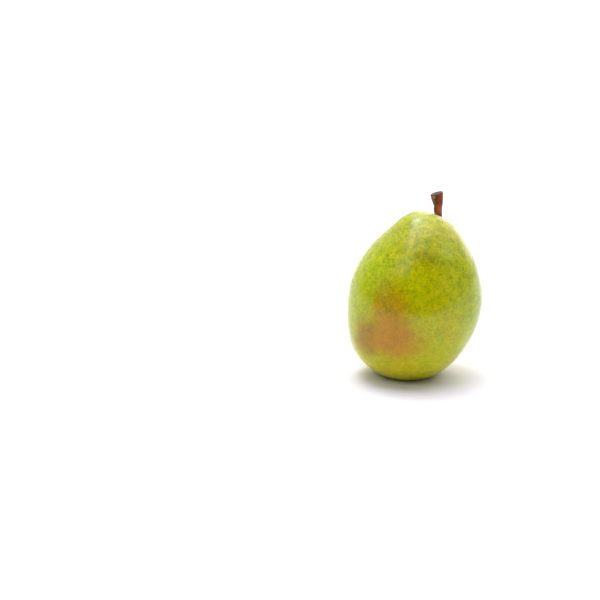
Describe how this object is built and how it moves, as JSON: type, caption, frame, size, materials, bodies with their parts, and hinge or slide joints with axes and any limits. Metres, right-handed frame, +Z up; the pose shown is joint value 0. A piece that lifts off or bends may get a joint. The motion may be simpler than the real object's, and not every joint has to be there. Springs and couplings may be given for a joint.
{
  "type": "fresh pear",
  "caption": "Rotund whole pear standing on its calyx end, with a short leaning neck, a curved woody stem flared at its cut end, and a dried star of sepals in the eye underneath.",
  "frame": {"origin": "on the surface that the pear stands on, at the middle of the whole pear's box in plan", "axes": "+Z up through the pear, +X the side that the neck and stem lean to, -Y the blushed front"},
  "size_m": [0.0812, 0.0812, 0.1109],
  "materials": {
    "pear_skin": "waxy skin",
    "stem_bark": "dry bark",
    "dried_calyx": "dry"
  },
  "bodies": {
    "root": {"fruit": "pear_skin", "stem": "stem_bark", "sepal_1": "dried_calyx", "sepal_2": "dried_calyx", "sepal_3": "dried_calyx", "sepal_4": "dried_calyx", "sepal_5": "dried_calyx", "stamen_tuft": "dried_calyx"}
  },
  "joints": []
}
